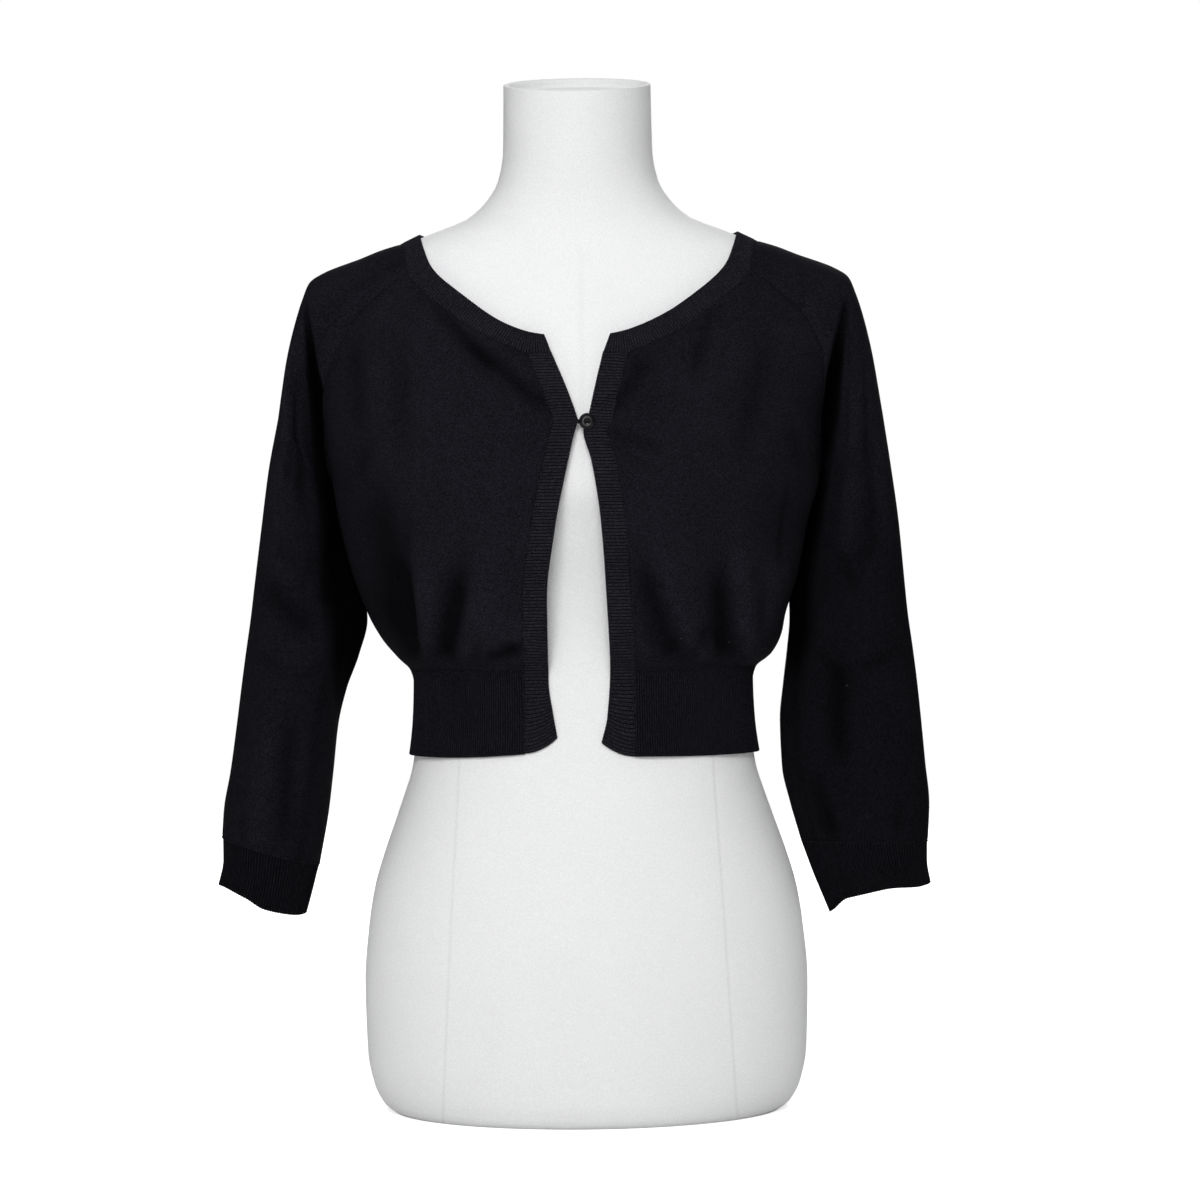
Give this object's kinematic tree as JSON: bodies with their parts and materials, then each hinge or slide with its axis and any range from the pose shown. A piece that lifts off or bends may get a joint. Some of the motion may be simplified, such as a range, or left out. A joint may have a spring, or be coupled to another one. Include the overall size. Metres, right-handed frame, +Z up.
{
  "type": "cardigan on a dress form",
  "caption": "Cropped fine-knit raglan cardigan with ribbed bands, waistband and cuffs, looped at one button, worn by a limbless standing dress form.",
  "frame": {"origin": "centre of the dress form's flat base", "axes": "+Z up, front of the garment towards -Y, the wearer's left towards +X"},
  "size_m": [0.5456, 0.2471, 0.8012],
  "materials": {
    "knit": "matte fine black jersey knit with faint wales",
    "ribbing": "matte black rib knit",
    "loop_cord": "thin black cord",
    "button": "glossy black",
    "form_cover": "smooth off-white jersey cover"
  },
  "bodies": {
    "root": {"front_right": "knit", "front_left": "knit", "back": "knit", "sleeve_right": "knit", "sleeve_left": "knit", "neckband": "ribbing", "front_band_right": "ribbing", "front_band_left": "ribbing", "waistband": "ribbing", "cuff_right": "ribbing", "cuff_left": "ribbing", "button_loop": "loop_cord", "button": "button", "dress_form": "form_cover"}
  },
  "joints": []
}
